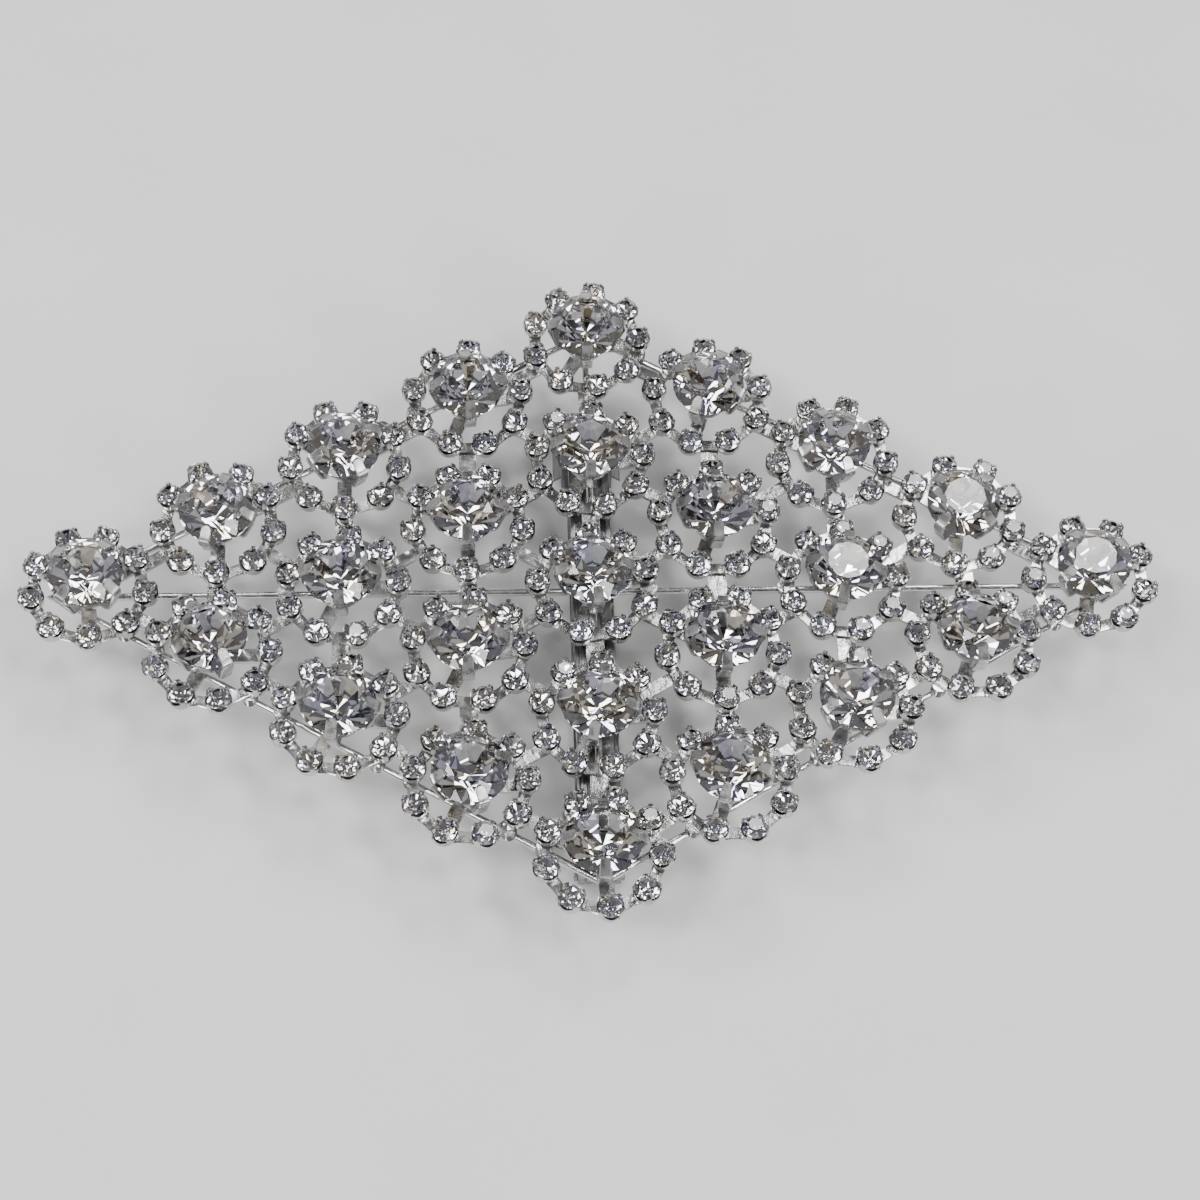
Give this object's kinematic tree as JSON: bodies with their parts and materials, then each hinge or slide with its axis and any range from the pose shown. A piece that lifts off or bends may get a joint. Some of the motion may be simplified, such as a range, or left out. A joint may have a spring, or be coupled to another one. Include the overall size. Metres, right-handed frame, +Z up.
{
  "type": "rhinestone hair clip",
  "caption": "Diamond-shaped net of clear crystal flowers in silver-plated cups on a wire frame, with a slim hinged spring barrette behind it.",
  "frame": {"origin": "on the surface that the closed clip lies on, under the middle of the net", "axes": "+Z up through the net's face, +X along the long diagonal, +Y along the short diagonal towards the catch end of the barrette"},
  "size_m": [0.1242, 0.0785, 0.0161],
  "materials": {
    "cup_chain": "bright silver plate, lightly worn",
    "claw_metal": "bright silver plate, brushed along the claws",
    "crystal": "polished faceted crystal with a foiled back",
    "small_crystal": "polished faceted crystal with a foiled back",
    "wire": "drawn wire, silver plated",
    "solder": "plated solder, slightly uneven",
    "barrette_steel": "nickel-plated strip, brushed lengthwise",
    "spring_steel": "tempered spring strip, satin",
    "pin_steel": "turned rivet, bright"
  },
  "bodies": {
    "clasp": {"clasp_arm": "barrette_steel"},
    "ornament": {"ring_a1": "cup_chain", "ring_a2": "cup_chain", "ring_a3": "cup_chain", "ring_a4": "cup_chain", "ring_a5": "cup_chain", "ring_b1": "cup_chain", "ring_b2": "cup_chain", "ring_b3": "cup_chain", "ring_b4": "cup_chain", "ring_b5": "cup_chain", "ring_c1": "cup_chain", "ring_c2": "cup_chain", "ring_c3": "cup_chain", "ring_c4": "cup_chain", "ring_c5": "cup_chain", "ring_d1": "cup_chain", "ring_d2": "cup_chain", "ring_d3": "cup_chain", "ring_d4": "cup_chain", "ring_d5": "cup_chain", "ring_e1": "cup_chain", "ring_e2": "cup_chain", "ring_e3": "cup_chain", "ring_e4": "cup_chain", "ring_e5": "cup_chain", "setting_row_a": "claw_metal", "setting_row_b": "claw_metal", "setting_row_c": "claw_metal", "setting_row_d": "claw_metal", "setting_row_e": "claw_metal", "stone_row_a": "crystal", "stone_row_b": "crystal", "stone_row_c": "crystal", "stone_row_d": "crystal", "stone_row_e": "crystal", "small_stones_row_a": "small_crystal", "small_stones_row_b": "small_crystal", "small_stones_row_c": "small_crystal", "small_stones_row_d": "small_crystal", "small_stones_row_e": "small_crystal", "rim_wire_upper_left": "wire", "rim_wire_upper_right": "wire", "rim_wire_lower_left": "wire", "rim_wire_lower_right": "wire", "long_wire": "wire", "short_wire": "wire", "solder_links": "solder", "barrette_base": "barrette_steel", "bow_spring": "spring_steel", "hinge_pin": "pin_steel"},
    "catch_left": {"catch_leaf_left": "spring_steel"},
    "catch_right": {"catch_leaf_right": "spring_steel"}
  },
  "joints": [
    {"name": "clasp_hinge", "type": "hinge", "parent": "clasp", "child": "ornament", "pos_m": [0, -0.03, 0.00135], "axis": [1, 0, 0], "range_deg": [0, 95]},
    {"name": "left_leaf_spring", "type": "hinge", "parent": "ornament", "child": "catch_left", "pos_m": [-0.0029, 0.02, 0.0078], "axis": [0, 1, 0], "range_deg": [0, 8], "stiffness_Nm_per_rad": 0.02},
    {"name": "right_leaf_spring", "type": "hinge", "parent": "ornament", "child": "catch_right", "pos_m": [0.0029, 0.02, 0.0078], "axis": [0, -1, 0], "range_deg": [0, 8], "stiffness_Nm_per_rad": 0.02}
  ]
}
